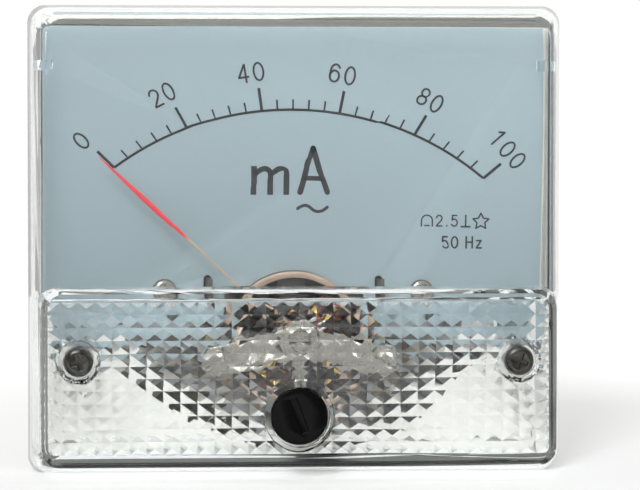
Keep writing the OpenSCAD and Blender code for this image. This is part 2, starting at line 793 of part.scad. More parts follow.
module movement_screws() {
    color([0.72, 0.72, 0.7]) both_sides() small_screw(movement_boss_x, pivot_z, plate_y,
        movement_head_r, movement_head_h, movement_screw_r, movement_screw_tip_y - plate_y, 1);
}

module pointer_stops() {
    color([0.4, 0.38, 0.35]) both_sides() {
        translate([stop_x - stop_t / 2, stop_front_y, stop_low])
            cube([stop_t, plate_y - stop_front_y, stop_top - 0.3 - stop_low]);
        translate([stop_x - 1.2, plate_y - stop_t, stop_low]) cube([2.4, stop_t, stop_top - 0.3 - stop_low]);
    }
}

module yoke_ring() {
    color([0.62, 0.57, 0.52]) difference() {
        rod(ring_r, ring_y, ring_y + ring_len, 0, pivot_z);
        rod(ring_bore_r, ring_y - 1, ring_y + ring_len + 1, 0, pivot_z);
    }
}

module core_magnet() {
    color([0.3, 0.3, 0.31]) turned(0, pivot_z) polygon([[0, core_y], [core_r - 0.4, core_y],
        [core_r, core_y + 0.4], [core_r, core_y + core_len - 0.4], [core_r - 0.4, core_y + core_len],
        [0, core_y + core_len]]);
}

module core_carriers() {
    end_gap = 0.6;
    color([0.34, 0.34, 0.33]) at_pivot() plate(core_y + end_gap, core_y + core_len - end_gap) intersection() {
        difference() {
            circle(ring_bore_r - slip);
            circle(core_r + slip);
        }
        square([carrier_w, 2 * ring_r], center = true);
    }
}

module bridge_pillars() {
    color([0.76, 0.65, 0.36]) both_sides() difference() {
        union() {
            rod(pillar_r, front_bridge_y + bridge_t, plate_y, pillar_x, pillar_z);
            rod(pillar_r, plate_back_y, rear_bridge_y, pillar_x, pillar_z);
        }
        rod(bridge_screw_r + slip, front_bridge_y, front_bridge_y + bridge_t + bridge_screw_len,
            pillar_x, pillar_z);
        rod(bridge_screw_r + slip, rear_bridge_y - bridge_screw_len, rear_bridge_y + 1, pillar_x, pillar_z);
    }
}

// Strip that carries a jewel screw between two pillars
module bridge(y) {
    plate(y, y + bridge_t) difference() {
        union() {
            translate([0, pivot_z]) circle(bridge_hub_r);
            for (x = [-1, 1]) strip([0, pivot_z], [x * pillar_x, pillar_z], bridge_w);
        }
        translate([0, pivot_z]) circle(jewel_screw_r + slip);
        for (x = [-1, 1]) translate([x * pillar_x, pillar_z]) circle(bridge_screw_r + slip);
    }
}

module front_bridge() {
    color([0.78, 0.78, 0.76]) bridge(front_bridge_y);
}

module rear_bridge() {
    color([0.78, 0.78, 0.76]) bridge(rear_bridge_y);
}

module bridge_screws() {
    color([0.75, 0.74, 0.7]) both_sides() {
        small_screw(pillar_x, pillar_z, front_bridge_y, bridge_head_r, bridge_head_h, bridge_screw_r,
            bridge_screw_len, 1);
        small_screw(pillar_x, pillar_z, rear_bridge_y + bridge_t, bridge_head_r, bridge_head_h,
            bridge_screw_r, bridge_screw_len, -1);
    }
}

module front_jewel_screw() {
    color([0.75, 0.74, 0.7]) jewel_screw(front_screw_y0, front_screw_y1, -1);
}

module rear_jewel_screw() {
    color([0.75, 0.74, 0.7]) jewel_screw(rear_screw_y1, rear_screw_y0, 1);
}

module jewels() {
    color([0.75, 0.2, 0.35]) {
        jewel(front_screw_y1, -1);
        jewel(rear_screw_y0, 1);
    }
}

module jewel_lock_nuts() {
    flats = jewel_screw_d + 1.6;
    rear_y = rear_bridge_y + bridge_t;
    color([0.75, 0.74, 0.7]) difference() {
        union() {
            hex(flats, front_bridge_y - lock_nut_t, front_bridge_y, 0, pivot_z);
            hex(flats, rear_y, rear_y + lock_nut_t, 0, pivot_z);
        }
        rod(jewel_screw_r + slip, front_bridge_y - 2, rear_y + 2, 0, pivot_z);
    }
}

// ---- Movement: parts that turn ----

module zero_lever() {
    hub_out = jewel_screw_r + 1.1;
    slot_half = pin_d / 2 + fork_gap;
    fork_half = slot_half + 0.8;
    fork_top = lever_len - 1.5;
    fork_end = lever_len + 1.3;
    finger_r = spring_r + spring_t + slip;
    color([0.78, 0.78, 0.76]) at_pivot() {
        plate(lever_y, lever_y + lever_t) difference() {
            union() {
                circle(hub_out);
                area(-0.7, -fork_top - 0.3, 0.7, 0);
                area(-fork_half, -fork_end, fork_half, -fork_top);
            }
            circle(jewel_screw_r + running);
            area(-slot_half, -fork_end - 1, slot_half, -lever_len + pin_d / 2 + 0.4);
        }
        translate([-0.4, lever_y + lever_t - 0.1, -finger_r - 0.4])
            cube([0.8, front_spring_y + spring_h - lever_y - lever_t + 0.1, 0.4]);
    }
}

module front_hairspring() {
    color([0.72, 0.55, 0.3]) hairspring(front_spring_y, front_collet_y, -90);
}

module rear_hairspring() {
    color([0.72, 0.55, 0.3]) hairspring(rear_spring_y, rear_collet_y, 180);
}

module tab_strip() {
    strip([-spring_r - 0.5, pivot_z], [-tab_end_x, pivot_z], tab_w);
}

module rear_spring_tab() {
    finger_r = spring_r + spring_t + slip;
    color([0.8, 0.68, 0.36]) {
        plate(tab_y, tab_y + tab_t) tab_strip();
        translate([-finger_r - 0.4, rear_spring_y, pivot_z - 0.4])
            cube([0.4, tab_y - rear_spring_y + 0.1, 0.8]);
    }
}

module tab_insulator() {
    color([0.5, 0.3, 0.18]) plate(tab_y + tab_t, rear_bridge_y) tab_strip();
}

module coil_former() {
    color([0.82, 0.83, 0.84]) at_pivot(rest_angle)
        coil_loop(former_half + former_t, former_y0 - former_t, former_y1 + former_t, former_t, 0.6);
}

module coil_winding() {
    color([0.42, 0.2, 0.12]) at_pivot(rest_angle)
        coil_loop(winding_half, coil_y0, coil_y1, winding_t - slip, 1.4);
}

module front_pivot() {
    color([0.66, 0.67, 0.7]) pivot(coil_y0, hub_back_to_base, front_screw_y1 - tip_depth, -1);
}

module rear_pivot() {
    color([0.66, 0.67, 0.7]) pivot(coil_y1, 0.3, rear_screw_y0 + tip_depth, 1);
}

module pointer_hub() {
    arm_y = hub_y + hub_t / 2;
    color([0.8, 0.8, 0.82]) at_pivot(rest_angle) difference() {
        union() {
            rod(hub_r, hub_y, hub_back_y);
            for (turn = [90, 180, 270]) rotate([0, turn, 0]) translate([0, arm_y, hub_r - 0.2])
                cylinder(r = arm_r, h = weight_at + weight_len + 0.4 - hub_r);
        }
        rod(pivot_r + slip, hub_y - 1, hub_back_y + 1);
    }
}

module balance_weights() {
    arm_y = hub_y + hub_t / 2;
    color([0.7, 0.6, 0.35]) at_pivot(rest_angle) for (turn = [90, 180, 270])
        rotate([0, turn, 0]) translate([0, arm_y, weight_at]) difference() {
            cylinder(r = weight_r, h = weight_len);
            translate([0, 0, -1]) cylinder(r = arm_r + slip, h = weight_len + 2);
        }
}

module pointer() {
    lance = pointer_len - 14.2;
    half = lance_w / 2;
    root = 0.7 * hub_r;
    color([0.85, 0.16, 0.18]) at_pivot(rest_angle) difference() {
        union() {
            rod(hub_r, pointer_y, hub_y);
            plate(pointer_y, hub_y) polygon([[-beam_w / 2, root], [-beam_w / 2, lance], [-half, pointer_len - 9.4],
                [-half, pointer_len - 7], [-0.06, pointer_len], [0.06, pointer_len], [half, pointer_len - 7],
                [half, pointer_len - 9.4], [beam_w / 2, lance], [beam_w / 2, root]]);
        }
        rod(pivot_r + slip, pointer_y - 1, hub_y + 1);
    }
}

// ---- Board, terminals and leads ----

module circuit_board() {
    color([0.62, 0.5, 0.3]) plate(board_y, board_back_y) difference() {
        area(-board_half_w, board_z0, board_half_w, board_z1);
        for (x = [-1, 1]) translate([x * terminal_x, 0]) circle(terminal_r + slip);
    }
}

// Axial part lying across the board, with its two leads bent down to it
module axial_part(x, z, part_r, part_len, lead_r) {
    y = board_y - part_r - lead_gap;
    foot = part_len / 2 + lead_reach;
    translate([x - part_len / 2, y, z]) rotate([0, 90, 0]) cylinder(r = part_r, h = part_len);
    wire([[x - foot, board_y, z], [x - foot, y, z], [x + foot, y, z], [x + foot, board_y, z]], lead_r);
}

module rectifier_diodes() {
    color([0.12, 0.12, 0.12]) for (row = [0 : 3]) axial_part(0, diode_z + diode_pitch * row, diode_r,
        diode_len, diode_lead_r);
}

module resistors() {
    color([0.55, 0.68, 0.75]) both_sides() axial_part(resistor_x, resistor_z, resistor_r, resistor_len,
        resistor_lead_r);
}

module board_nuts() {
    color([0.76, 0.65, 0.36]) both_sides() difference() {
        hex(nut_flats, board_y - board_nut_t, board_y, terminal_x);
        rod(terminal_grip_r + slip, board_y - board_nut_t - 1, board_y + 1, terminal_x);
    }
}

module lead_wires() {
    r = wire_r;
    x = wire_x;
    z = wire_z;
    mid_z = (wire_z + pivot_z) / 2;
    end_x = movement_boss_x - movement_boss_r - 0.5;
    color([0.7, 0.12, 0.1]) {
        tube([[-x, board_y, z], [-x, board_y - 3, z], [-x, board_y - 6, z - r], [-x + r, tab_y + 3, mid_z],
            [-x + 2, tab_y - 1.2, pivot_z + 4 * r], [-tab_end_x, tab_y - r, pivot_z]], r);
        tube([[x, board_y, z], [x, board_y - 3, z], [x, board_y - 6, z - r], [end_x, plate_back_y + 7, mid_z],
            [end_x, plate_back_y + 2, pivot_z + 4 * r], [end_x, plate_back_y, pivot_z + 3 * r]], r);
    }
}

// Full thread where it is free, and the pitch line where a nut grips it
module terminal_studs() {
    back_r = terminal_r - 0.4;
    front_y = board_y - board_nut_t - 0.6;
    board_nut_y = board_y - board_nut_t;
    nut_back_y = terminal_nut_y + terminal_nut_t;
    color([0.8, 0.68, 0.36]) both_sides() {
        turned(terminal_x) polygon([[0, front_y], [back_r, front_y], [terminal_r, front_y + 0.4],
            [terminal_r, board_nut_y], [terminal_grip_r, board_nut_y],
            [terminal_grip_r, board_y], [terminal_r, board_y],
            [terminal_r, terminal_nut_y], [terminal_grip_r, terminal_nut_y],
            [terminal_grip_r, nut_back_y], [terminal_r, nut_back_y],
            [terminal_r, terminal_end_y - 0.4], [back_r, terminal_end_y], [0, terminal_end_y]]);
        difference() {
            hex(nut_flats, board_back_y, floor_y, terminal_x);
            rod(terminal_r, board_back_y - 1, floor_y + 1, terminal_x);
        }
    }
}

module flat_washers() {
    color([0.8, 0.68, 0.36]) both_sides() ring(washer_r, washer_y, lug_y);
}

// Flat ring round a terminal
module ring(r, y0, y1) {
    difference() {
        rod(r, y0, y1, terminal_x);
        rod(terminal_r + slip, y0 - 1, y1 + 1, terminal_x);
    }
}

module solder_lugs() {
    eye = [terminal_x, lug_eye_z];
    color([0.8, 0.79, 0.76]) both_sides() plate(lug_y, spring_washer_y) difference() {
        union() {
            translate([terminal_x, 0]) circle(lug_disc_r);
            strip([terminal_x, 0], eye, lug_w);
        }
        translate([terminal_x, 0]) circle(terminal_r + slip);
        translate(eye) circle(lug_eye_r);
    }
}

module spring_washers() {
    color([0.6, 0.6, 0.58]) both_sides() difference() {
        ring(spring_washer_r, spring_washer_y, terminal_nut_y);
        translate([terminal_x, (spring_washer_y + terminal_nut_y) / 2, -(spring_washer_r + terminal_r) / 2])
            rotate([0, 0, 35]) cube([0.7, 4, spring_washer_r - terminal_r + 1], center = true);
    }
}

module terminal_nuts() {
    color([0.8, 0.68, 0.36]) both_sides() difference() {
        hex(nut_flats, terminal_nut_y, terminal_nut_y + terminal_nut_t, terminal_x);
        rod(terminal_grip_r + slip, terminal_nut_y - 1, terminal_nut_y + terminal_nut_t + 1, terminal_x);
    }
}

base_housing();
front_cover();
cover_screws();
zero_adjuster();
dial_plate();
scale_marks();
dial_screws();
movement_plate();
movement_screws();
pointer_stops();
yoke_ring();
core_magnet();
core_carriers();
bridge_pillars();
front_bridge();
rear_bridge();
bridge_screws();
front_jewel_screw();
rear_jewel_screw();
jewels();
jewel_lock_nuts();
zero_lever();
front_hairspring();
rear_hairspring();
rear_spring_tab();
tab_insulator();
coil_former();
coil_winding();
front_pivot();
rear_pivot();
pointer_hub();
pointer();
balance_weights();
circuit_board();
rectifier_diodes();
resistors();
board_nuts();
lead_wires();
terminal_studs();
flat_washers();
spring_washers();
terminal_nuts();
solder_lugs();
mounting_studs();
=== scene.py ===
# Dresses the panel meter: clear cover, printed dial, red pointer, plated metal and moulded plastics.
import bpy
import bmesh
import math
import json
import numpy as np
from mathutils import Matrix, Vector


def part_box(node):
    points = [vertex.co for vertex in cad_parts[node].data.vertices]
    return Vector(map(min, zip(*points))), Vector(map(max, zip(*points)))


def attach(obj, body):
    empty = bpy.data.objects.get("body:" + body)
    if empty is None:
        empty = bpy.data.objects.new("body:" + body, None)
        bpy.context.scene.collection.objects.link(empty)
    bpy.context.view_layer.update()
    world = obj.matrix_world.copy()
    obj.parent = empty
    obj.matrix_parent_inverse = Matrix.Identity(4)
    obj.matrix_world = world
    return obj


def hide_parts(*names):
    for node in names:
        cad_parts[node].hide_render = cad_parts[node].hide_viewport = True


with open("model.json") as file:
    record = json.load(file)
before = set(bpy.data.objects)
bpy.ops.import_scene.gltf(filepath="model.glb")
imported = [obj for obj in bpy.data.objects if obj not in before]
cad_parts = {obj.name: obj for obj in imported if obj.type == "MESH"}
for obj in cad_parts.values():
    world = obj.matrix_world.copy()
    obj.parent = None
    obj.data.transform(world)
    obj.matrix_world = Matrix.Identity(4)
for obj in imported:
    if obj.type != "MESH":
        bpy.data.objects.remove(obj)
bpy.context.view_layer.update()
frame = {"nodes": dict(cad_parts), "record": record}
print("frame loaded:", len(frame["nodes"]), "nodes")
scene = bpy.context.scene
mm = 0.001

# Planes and places read from the frame, in metres
pivotLow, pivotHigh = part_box("yoke_ring")
pivotZ = (pivotLow.z + pivotHigh.z) / 2
housingLow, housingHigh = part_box("base_housing")
coverLow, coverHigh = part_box("front_cover")
dialLow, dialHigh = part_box("dial_plate")
adjusterLow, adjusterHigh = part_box("zero_adjuster")


# Meshes

def meshObject(name, points, faces, smooth=True):
    mesh = bpy.data.meshes.new(name)
    mesh.from_pydata(np.asarray(points, float).reshape(-1, 3).tolist(), [], faces)
    mesh.update()
    obj = bpy.data.objects.new(name, mesh)
    scene.collection.objects.link(obj)
    mesh.polygons.foreach_set("use_smooth", [smooth] * len(mesh.polygons))
    return obj


# Quads of a grid of rows by columns points, closed round the columns if wrap is set
def gridFaces(rows, columns, wrap=True):
    i, j = np.meshgrid(np.arange(rows - 1), np.arange(columns if wrap else columns - 1), indexing="ij")
    k = (j + 1) % columns
    quads = np.stack([i * columns + j, i * columns + k, (i + 1) * columns + k, (i + 1) * columns + j], -1)
    return quads.reshape(-1, 4).tolist()


# Profile of (radius, depth) carried round an axis along Y at x, z: x + r cos t, y, z + r sin t
def turnedPiece(name, profile, x=0.0, z=0.0, steps=96):
    r, y = np.asarray(profile, float).T
    t = np.linspace(0, 2 * math.pi, steps, endpoint=False)
    grid = np.stack([x + np.outer(r, np.cos(t)), np.outer(y, np.ones(steps)), z + np.outer(r, np.sin(t))], -1)
    faces = gridFaces(len(r), steps)
    points = grid.reshape(-1, 3)
    faces.append(list(range(steps)))
    faces.append([(len(r) - 1) * steps + s for s in range(steps - 1, -1, -1)])
    return meshObject(name, points, faces)


# Arc of a profile from angle a0 to a1 in degrees about (r, y)
def arc(r, y, radius, a0, a1, steps=6):
    a = np.radians(np.linspace(a0, a1, steps))
    return list(zip(r + radius * np.cos(a), y + radius * np.sin(a)))


# Outline of a rectangle with round corners, from its half sizes, centre height and corner radius
def roundOutline(halfW, lowZ, highZ, radius, steps=10):
    turn = np.radians(np.concatenate([np.linspace(q, q + 90, steps) for q in (0, 90, 180, 270)]))
    sx = np.repeat([1, -1, -1, 1], steps)
    sz = np.repeat([1, 1, 0, 0], steps)
    cx = sx * (halfW - radius)
    cz = np.where(sz > 0, highZ - radius, lowZ + radius)
    return np.stack([cx + radius * np.cos(turn), cz + radius * np.sin(turn)], -1)


# Stack of outlines, each at its own depth, closed at both ends by one face
def loftPiece(name, sections):
    rows = np.array([np.insert(outline, 1, y, axis=1) for outline, y in sections])
    count = rows.shape[1]
    faces = gridFaces(len(rows), count)
    faces.append(list(range(count)))
    faces.append([(len(rows) - 1) * count + s for s in range(count - 1, -1, -1)])
    return meshObject(name, rows, faces)


def outward(obj):
    work = bmesh.new()
    work.from_mesh(obj.data)
    bmesh.ops.remove_doubles(work, verts=work.verts, dist=1e-7)
    bmesh.ops.recalc_face_normals(work, faces=work.faces)
    work.to_mesh(obj.data)
    work.free()
    return obj


def applyModifiers(obj):
    graph = bpy.context.evaluated_depsgraph_get()
    fresh = bpy.data.meshes.new_from_object(obj.evaluated_get(graph))
    old = obj.data
    obj.modifiers.clear()
    obj.data = fresh
    bpy.data.meshes.remove(old)
    return obj


# Adds or cuts solids, and deletes the tools
def combine(obj, tools, operation):
    for tool in tools:
        step = obj.modifiers.new("join", "BOOLEAN")
        step.operation = operation
        step.solver = "EXACT"
        step.object = tool
        applyModifiers(obj)
        bpy.data.objects.remove(tool)
    return obj


# Shader groups and materials

def newNode(tree, kind, place, **settings):
    node = tree.nodes.new(kind)
    node.location = place
    for key, value in settings.items():
        setattr(node, key, value)
    return node


# Cloudy colour, roughness and fine bump of a moulded, painted or plated skin
def buildSurfaceGrain():
    group = bpy.data.node_groups.new("surfaceGrain", "ShaderNodeTree")
    face = group.interface
    for label, kind, value in (("Light", "NodeSocketColor", (0.8, 0.8, 0.8, 1)), ("Dark", "NodeSocketColor", (0.7, 0.7, 0.7, 1)),
                               ("Cloud Scale", "NodeSocketFloat", 60.0), ("Grain Scale", "NodeSocketFloat", 4000.0),
                               ("Rough Low", "NodeSocketFloat", 0.3), ("Rough High", "NodeSocketFloat", 0.5),
                               ("Depth", "NodeSocketFloat", 0.1)):
        face.new_socket(label, in_out="INPUT", socket_type=kind).default_value = value
    for label, kind in (("Color", "NodeSocketColor"), ("Roughness", "NodeSocketFloat"), ("Normal", "NodeSocketVector")):
        face.new_socket(label, in_out="OUTPUT", socket_type=kind)
    given = newNode(group, "NodeGroupInput", (-900, 0))
    place = newNode(group, "ShaderNodeTexCoord", (-900, -300))
    cloud = newNode(group, "ShaderNodeTexNoise", (-600, 200))
    cloud.inputs["Detail"].default_value = 4
    grain = newNode(group, "ShaderNodeTexNoise", (-600, -200))
    grain.inputs["Detail"].default_value = 3
    tone = newNode(group, "ShaderNodeMix", (-200, 250), data_type="RGBA")
    rough = newNode(group, "ShaderNodeMapRange", (-200, 0))
    bump = newNode(group, "ShaderNodeBump", (-200, -300))
    bump.inputs["Distance"].default_value = 0.00005
    out = newNode(group, "NodeGroupOutput", (200, 0))
    link = group.links.new
    link(place.outputs["Object"], cloud.inputs["Vector"])
    link(place.outputs["Object"], grain.inputs["Vector"])
    link(given.outputs["Cloud Scale"], cloud.inputs["Scale"])
    link(given.outputs["Grain Scale"], grain.inputs["Scale"])
    link(cloud.outputs["Fac"], tone.inputs["Factor"])
    link(given.outputs["Dark"], tone.inputs["A"])
    link(given.outputs["Light"], tone.inputs["B"])
    link(cloud.outputs["Fac"], rough.inputs["Value"])
    link(given.outputs["Rough Low"], rough.inputs["To Min"])
    link(given.outputs["Rough High"], rough.inputs["To Max"])
    link(grain.outputs["Fac"], bump.inputs["Height"])
    link(given.outputs["Depth"], bump.inputs["Strength"])
    link(tone.outputs["Result"], out.inputs["Color"])
    link(rough.outputs["Result"], out.inputs["Roughness"])
    link(bump.outputs["Normal"], out.inputs["Normal"])
    return group


# Fine rings left by a lathe round an axis along Y, or lines along a wire winding
def buildTurningLines():
    group = bpy.data.node_groups.new("turningLines", "ShaderNodeTree")
    face = group.interface
    for label, kind, value in (("Centre", "NodeSocketVector", (0, 0, 0)), ("Scale", "NodeSocketFloat", 3000.0),
                               ("Depth", "NodeSocketFloat", 0.15)):
        face.new_socket(label, in_out="INPUT", socket_type=kind).default_value = value
    for label, kind in (("Lines", "NodeSocketFloat"), ("Normal", "NodeSocketVector")):
        face.new_socket(label, in_out="OUTPUT", socket_type=kind)
    given = newNode(group, "NodeGroupInput", (-900, 0))
    place = newNode(group, "ShaderNodeTexCoord", (-900, -300))
    shift = newNode(group, "ShaderNodeVectorMath", (-650, -100), operation="SUBTRACT")
    wave = newNode(group, "ShaderNodeTexWave", (-350, 0), wave_type="RINGS", rings_direction="Y")
    wave.inputs["Distortion"].default_value = 1.5
    wave.inputs["Detail"].default_value = 2
    bump = newNode(group, "ShaderNodeBump", (0, -200))
    bump.inputs["Distance"].default_value = 0.00003
    out = newNode(group, "NodeGroupOutput", (300, 0))
    link = group.links.new
    link(place.outputs["Object"], shift.inputs[0])
    link(given.outputs["Centre"], shift.inputs[1])
    link(shift.outputs["Vector"], wave.inputs["Vector"])
    link(given.outputs["Scale"], wave.inputs["Scale"])
    link(wave.outputs["Fac"], bump.inputs["Height"])
    link(given.outputs["Depth"], bump.inputs["Strength"])
    link(wave.outputs["Fac"], out.inputs["Lines"])
    link(bump.outputs["Normal"], out.inputs["Normal"])
    return group


surfaceGrain = buildSurfaceGrain()
turningLines = buildTurningLines()


def linear(r, g, b):
    return [((c / 255 + 0.055) / 1.055) ** 2.4 if c > 10 else c / 255 / 12.92 for c in (r, g, b)] + [1.0]


# Base of every opaque finish: the grain group feeding a Principled shader
def makeFinish(name, light, dark, rough=(0.3, 0.5), metallic=0.0, cloud=60, grain=4000, depth=0.1,
               coat=0.0, lines=None, sheen=0.5):
    material = bpy.data.materials.new(name)
    material.use_nodes = True
    tree = material.node_tree
    shader = tree.nodes["Principled BSDF"]
    shader.inputs["Metallic"].default_value = metallic
    shader.inputs["Coat Weight"].default_value = coat
    shader.inputs["Specular IOR Level"].default_value = sheen
    shader.inputs["Coat Roughness"].default_value = 0.08
    skin = newNode(tree, "ShaderNodeGroup", (-500, 0), node_tree=surfaceGrain, name="skin")
    for label, value in (("Light", linear(*light)), ("Dark", linear(*dark)), ("Cloud Scale", cloud), ("Grain Scale", grain),
                         ("Rough Low", rough[0]), ("Rough High", rough[1]), ("Depth", depth)):
        skin.inputs[label].default_value = value
    tree.links.new(skin.outputs["Color"], shader.inputs["Base Color"])
    tree.links.new(skin.outputs["Roughness"], shader.inputs["Roughness"])
    tree.links.new(skin.outputs["Normal"], shader.inputs["Normal"])
    if lines:
        turned = newNode(tree, "ShaderNodeGroup", (-500, -300), node_tree=turningLines)
        turned.inputs["Centre"].default_value = lines["centre"]
        turned.inputs["Scale"].default_value = lines["scale"]
        turned.inputs["Depth"].default_value = lines["depth"]
        tree.links.new(turned.outputs["Normal"], shader.inputs["Normal"])
    return material


# Clear plastic: real refraction, and lamps pass through it
def makeClear(name, tint, rough, ior, waveDepth):
    material = bpy.data.materials.new(name)
    material.use_nodes = True
    tree = material.node_tree
    shader = tree.nodes["Principled BSDF"]
    shader.inputs["Base Color"].default_value = linear(*tint)
    shader.inputs["Transmission Weight"].default_value = 1.0
    shader.inputs["IOR"].default_value = ior
    skin = newNode(tree, "ShaderNodeGroup", (-500, 0), node_tree=surfaceGrain)
    for label, value in (("Cloud Scale", 90.0), ("Grain Scale", 350.0), ("Rough Low", rough[0]), ("Rough High", rough[1]),
                         ("Depth", waveDepth)):
        skin.inputs[label].default_value = value
    tree.links.new(skin.outputs["Roughness"], shader.inputs["Roughness"])
    tree.links.new(skin.outputs["Normal"], shader.inputs["Normal"])
    path = newNode(tree, "ShaderNodeLightPath", (-200, 400))
    through = newNode(tree, "ShaderNodeBsdfTransparent", (0, -200))
    through.inputs["Color"].default_value = (0.93, 0.94, 0.95, 1)
    choose = newNode(tree, "ShaderNodeMixShader", (300, 100))
    out = tree.nodes["Material Output"]
    tree.links.new(path.outputs["Is Shadow Ray"], choose.inputs["Fac"])
    tree.links.new(shader.outputs["BSDF"], choose.inputs[1])
    tree.links.new(through.outputs["BSDF"], choose.inputs[2])
    tree.links.new(choose.outputs["Shader"], out.inputs["Surface"])
    return material


pivotCentre = (0.0, 0.0, pivotZ)
adjusterZ = (adjusterLow.z + adjusterHigh.z) / 2
finishes = {
    "white_housing": makeFinish("whiteMoulding", (233, 232, 226), (226, 225, 219), (0.32, 0.48), depth=0.12, grain=2500),
    "dark_screws": makeFinish("darkNickel", (112, 110, 106), (46, 45, 43), (0.2, 0.4), 1.0, cloud=1100, depth=0.12),
    "black_gloss": makeFinish("blackMoulding", (13, 13, 13), (9, 9, 9), (0.1, 0.2), cloud=200, grain=900, depth=0.04, sheen=0.12),
    "dial_face": makeFinish("dialPaint", (155, 172, 178), (152, 169, 175), (0.5, 0.62), cloud=40, grain=6000, depth=0.05),
    "dial_print": makeFinish("dialInk", (19, 21, 23), (15, 17, 19), (0.4, 0.55), cloud=800, grain=6000, depth=0.05),
    "nickel": makeFinish("nickelPlate", (158, 154, 146), (128, 125, 118), (0.2, 0.34), 1.0, cloud=500, depth=0.08),
    "die_cast": makeFinish("dieCast", (178, 180, 182), (158, 160, 163), (0.4, 0.6), 1.0, cloud=300, grain=2500, depth=0.3),
    "steel": makeFinish("plainSteel", (176, 174, 170), (150, 148, 144), (0.25, 0.42), 1.0, cloud=500, depth=0.1),
    "soft_iron": makeFinish("turnedIron", (186, 166, 150), (160, 140, 124), (0.3, 0.45), 1.0, cloud=200,
                            lines={"centre": pivotCentre, "scale": 900.0, "depth": 0.25}),
    "magnet": makeFinish("groundMagnet", (92, 92, 94), (72, 72, 74), (0.35, 0.5), 1.0, cloud=300, grain=3000, depth=0.25),
    "brass": makeFinish("turnedBrass", (214, 184, 116), (196, 164, 96), (0.2, 0.36), 1.0, cloud=300, depth=0.1),
    "jewel": makeFinish("ruby", (170, 30, 60), (140, 20, 50), (0.05, 0.12), cloud=300, depth=0.02, coat=0.5),
    "bronze": makeFinish("springBronze", (196, 152, 96), (176, 132, 80), (0.22, 0.36), 1.0, cloud=400, depth=0.08),
    "fibre": makeFinish("redFibre", (132, 72, 44), (112, 58, 36), (0.6, 0.8), cloud=900, grain=3000, depth=0.3),
    "bright_aluminium": makeFinish("brightAluminium", (216, 218, 220), (200, 202, 205), (0.22, 0.36), 1.0, cloud=300, depth=0.08),
    "dark_steel": makeFinish("darkSteel", (104, 98, 90), (84, 78, 72), (0.35, 0.5), 1.0, cloud=500, depth=0.1),
    "dark_cast": makeFinish("darkCast", (94, 94, 91), (78, 78, 76), (0.4, 0.6), 1.0, cloud=300, grain=2500, depth=0.25),
    "enamel_copper": makeFinish("enamelledWire", (110, 56, 36), (84, 40, 24), (0.2, 0.32), 0.5, cloud=600, coat=0.4,
                                lines={"centre": (0, 0, 0), "scale": 2200.0, "depth": 0.6}),
    "board": makeFinish("phenolicBoard", (166, 130, 78), (146, 112, 64), (0.45, 0.6), cloud=400, grain=1800, depth=0.15),
    "black_body": makeFinish("mouldedBlack", (24, 24, 25), (17, 17, 18), (0.35, 0.5), cloud=400, depth=0.1),
    "resistor_body": makeFinish("resistorLacquer", (140, 172, 190), (126, 158, 176), (0.2, 0.32), cloud=400, depth=0.05),
    "wire_red": makeFinish("wireJacket", (168, 36, 30), (150, 28, 24), (0.3, 0.42), cloud=400, depth=0.06),
    "tinned": makeFinish("tinnedBrass", (200, 199, 192), (180, 179, 172), (0.28, 0.42), 1.0, cloud=400, depth=0.12),
    "zinc_steel": makeFinish("zincPlate", (196, 194, 182), (172, 170, 158), (0.3, 0.45), 1.0, cloud=350, depth=0.12),
    "clear_cover": makeClear("clearMoulding", (250, 252, 252), (0.0, 0.02), 1.5, 0.01),
}


# Red lacquer on the lance, bare beam nearer the pivot: split by distance from the pivot axis
def makePointerFinish(redFrom):
    material = makeFinish("pointerLacquer", (222, 40, 48), (206, 30, 38), (0.3, 0.42), cloud=400, depth=0.04)
    tree = material.node_tree
    shader = tree.nodes["Principled BSDF"]
    place = newNode(tree, "ShaderNodeTexCoord", (-1100, 300))
    shift = newNode(tree, "ShaderNodeVectorMath", (-900, 300), operation="SUBTRACT")
    shift.inputs[1].default_value = pivotCentre
    flat = newNode(tree, "ShaderNodeVectorMath", (-700, 300), operation="MULTIPLY")
    flat.inputs[1].default_value = (1, 0, 1)
    reach = newNode(tree, "ShaderNodeVectorMath", (-500, 300), operation="LENGTH")
    edge = newNode(tree, "ShaderNodeMapRange", (-300, 300))
    edge.inputs["From Min"].default_value = redFrom
    edge.inputs["From Max"].default_value = redFrom + 1.2 * mm
    tone = newNode(tree, "ShaderNodeMix", (-150, 150), data_type="RGBA")
    tone.inputs["A"].default_value = linear(172, 152, 132)
    link = tree.links.new
    link(place.outputs["Object"], shift.inputs[0])
    link(shift.outputs["Vector"], flat.inputs[0])
    link(flat.outputs["Vector"], reach.inputs[0])
    link(reach.outputs["Value"], edge.inputs["Value"])
    link(edge.outputs["Result"], tone.inputs["Factor"])
    link(tree.nodes["skin"].outputs["Color"], tone.inputs["B"])
    link(tone.outputs["Result"], shader.inputs["Base Color"])
    return material


finishes["pointer_red"] = makePointerFinish(17.2 * mm)
print("finishes made:", len(finishes))

slotOf = {part["node"]: part["material_slot"] for part in frame["record"]["subparts"]}
bodyOf = {node: body for body, nodes in frame["record"]["behaviour"]["bodies"].items() for node in nodes}


# Lets a new piece stand for a CAD node: its body, its slot and its finish
def dress(obj, node, replace=True):
    obj.data.materials.clear()
    obj.data.materials.append(finishes[slotOf[node]])
    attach(obj, bodyOf[node])
    if replace:
        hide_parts(node)
    return obj


